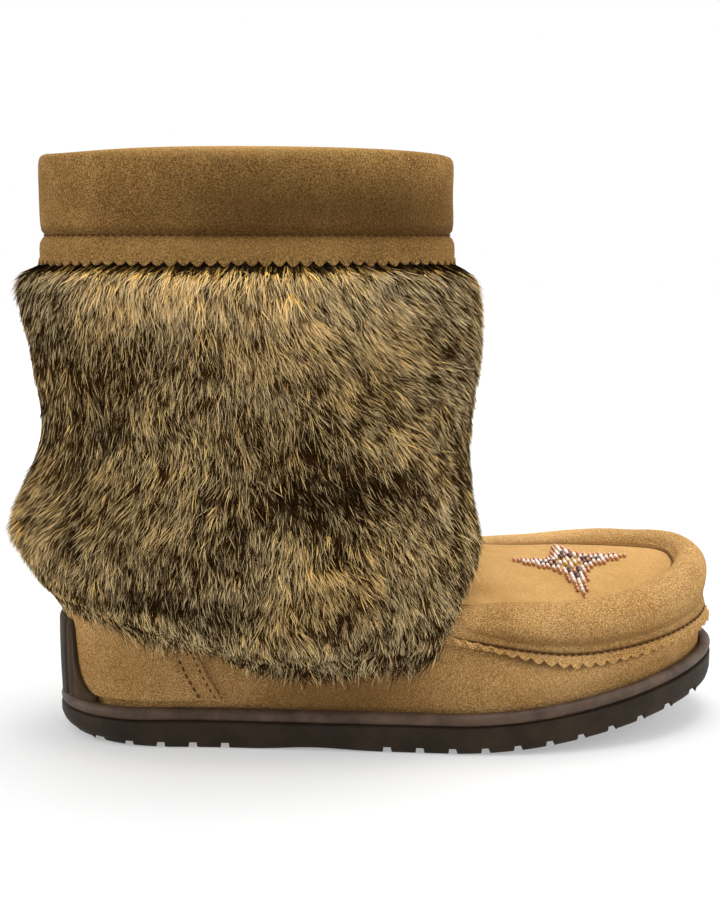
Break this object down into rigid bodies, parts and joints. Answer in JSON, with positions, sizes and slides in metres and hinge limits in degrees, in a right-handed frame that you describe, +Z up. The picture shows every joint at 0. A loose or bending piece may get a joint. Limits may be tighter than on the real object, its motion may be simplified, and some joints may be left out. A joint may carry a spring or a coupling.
{
  "type": "mukluk boot",
  "caption": "Low suede mukluk boot with a deep fur sleeve, rolled collar, moccasin vamp with a padded roll and a beaded star, on a rubber cup sole.",
  "frame": {"origin": "on the floor, at the middle of the heel's flat spot", "axes": "+X towards the toe, +Y towards the inner side of the foot, +Z up"},
  "size_m": [0.2974, 0.1297, 0.237],
  "materials": {
    "rubber": "satin",
    "footbed": "matte",
    "suede": "matte",
    "fur": "matte",
    "beads": "polished"
  },
  "bodies": {
    "root": {"outsole": "rubber", "insole": "footbed", "upper": "suede", "back_quarter": "suede", "vamp_roll": "suede", "vamp_plug": "suede", "collar": "suede", "beaded_star": "beads", "fur_sleeve": "fur"}
  },
  "joints": []
}
